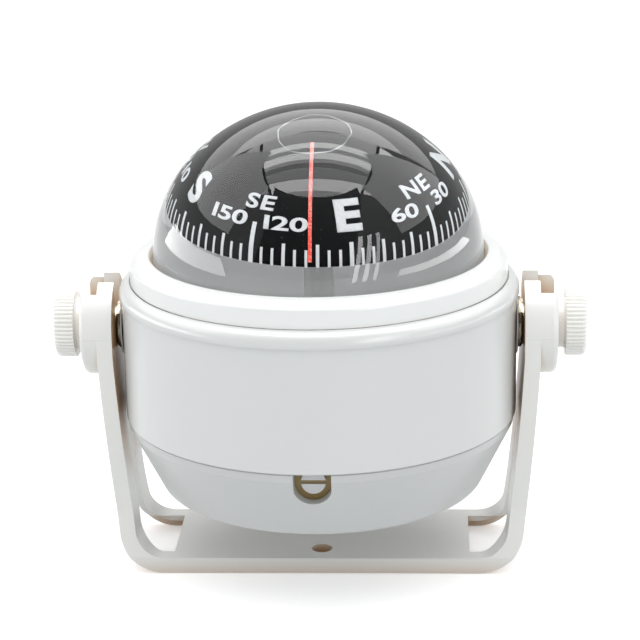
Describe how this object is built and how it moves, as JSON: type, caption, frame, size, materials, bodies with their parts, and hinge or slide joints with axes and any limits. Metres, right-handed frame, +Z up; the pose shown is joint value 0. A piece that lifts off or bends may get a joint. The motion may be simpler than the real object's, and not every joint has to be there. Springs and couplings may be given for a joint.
{
  "type": "bracket-mounted marine compass",
  "caption": "Domed liquid-filled boat compass that tilts between two clamping knobs in a U bracket, with a floating card, a lubber line and compensating magnets.",
  "frame": {"origin": "middle of the bracket's resting face", "axes": "+Z up out of the resting face, +X along the tilt axis to the right as the compass is read, -Y towards the reader"},
  "size_m": [0.108, 0.0812, 0.0951],
  "materials": {
    "bracket_plastic": "moulded white, satin",
    "knob_plastic": "moulded white, satin",
    "case_plastic": "moulded white, semi-gloss",
    "bezel_plastic": "moulded white, gloss",
    "clear_acrylic": "polished clear",
    "seal_rubber": "moulded",
    "white_plastic": "moulded",
    "black_plastic": "moulded",
    "card_plastic": "printed black",
    "float_plastic": "moulded",
    "red_acrylic": "translucent red",
    "brass": "turned",
    "plated_brass": "nickel plated",
    "stainless_steel": "turned",
    "magnet_steel": "ground",
    "jewel": "polished"
  },
  "bodies": {
    "bracket": {"bracket": "bracket_plastic"},
    "housing": {"case": "case_plastic", "lower_bowl": "case_plastic", "case_screws": "stainless_steel", "bezel": "bezel_plastic", "dome": "clear_acrylic", "dome_gasket": "seal_rubber", "liquid_bowl": "white_plastic", "diaphragm": "seal_rubber", "diaphragm_ring": "black_plastic", "fill_plug": "brass", "fill_plug_seal": "seal_rubber", "pivot_post": "white_plastic", "pivot_needle": "stainless_steel", "lubber_line": "red_acrylic", "compensator_block": "black_plastic", "block_screws": "brass", "left_pivot_insert": "plated_brass", "right_pivot_insert": "plated_brass"},
    "left_clamp_knob": {"left_knob": "knob_plastic", "left_knob_stud": "stainless_steel"},
    "right_clamp_knob": {"right_knob": "knob_plastic", "right_knob_stud": "stainless_steel"},
    "card": {"compass_card": "card_plastic", "card_hub": "card_plastic", "card_float": "float_plastic", "card_magnets": "magnet_steel", "jewel_cup": "jewel"},
    "fore_aft_adjuster": {"fore_aft_shaft": "white_plastic", "fore_aft_magnet": "magnet_steel"},
    "athwart_adjuster": {"athwart_shaft": "white_plastic", "athwart_magnet": "magnet_steel"}
  },
  "joints": [
    {"name": "housing_tilt", "type": "hinge", "parent": "bracket", "child": "housing", "pos_m": [0, 0, 0.04995], "axis": [1, 0, 0], "range_deg": [-180, 180]},
    {"name": "left_knob_turn", "type": "hinge", "parent": "housing", "child": "left_clamp_knob", "pos_m": [-0.0455, 0, 0.04995], "axis": [1, 0, 0], "continuous": true},
    {"name": "right_knob_turn", "type": "hinge", "parent": "housing", "child": "right_clamp_knob", "pos_m": [0.0455, 0, 0.04995], "axis": [1, 0, 0], "continuous": true},
    {"name": "card_turn", "type": "hinge", "parent": "housing", "child": "card", "pos_m": [0, 0, 0.081], "axis": [0, 0, 1], "continuous": true},
    {"name": "fore_aft_adjuster_turn", "type": "hinge", "parent": "housing", "child": "fore_aft_adjuster", "pos_m": [0, -0.0196, 0.02865], "axis": [0, 1, 0], "continuous": true},
    {"name": "athwart_adjuster_turn", "type": "hinge", "parent": "housing", "child": "athwart_adjuster", "pos_m": [-0.0196, 0, 0.02865], "axis": [1, 0, 0], "continuous": true}
  ]
}
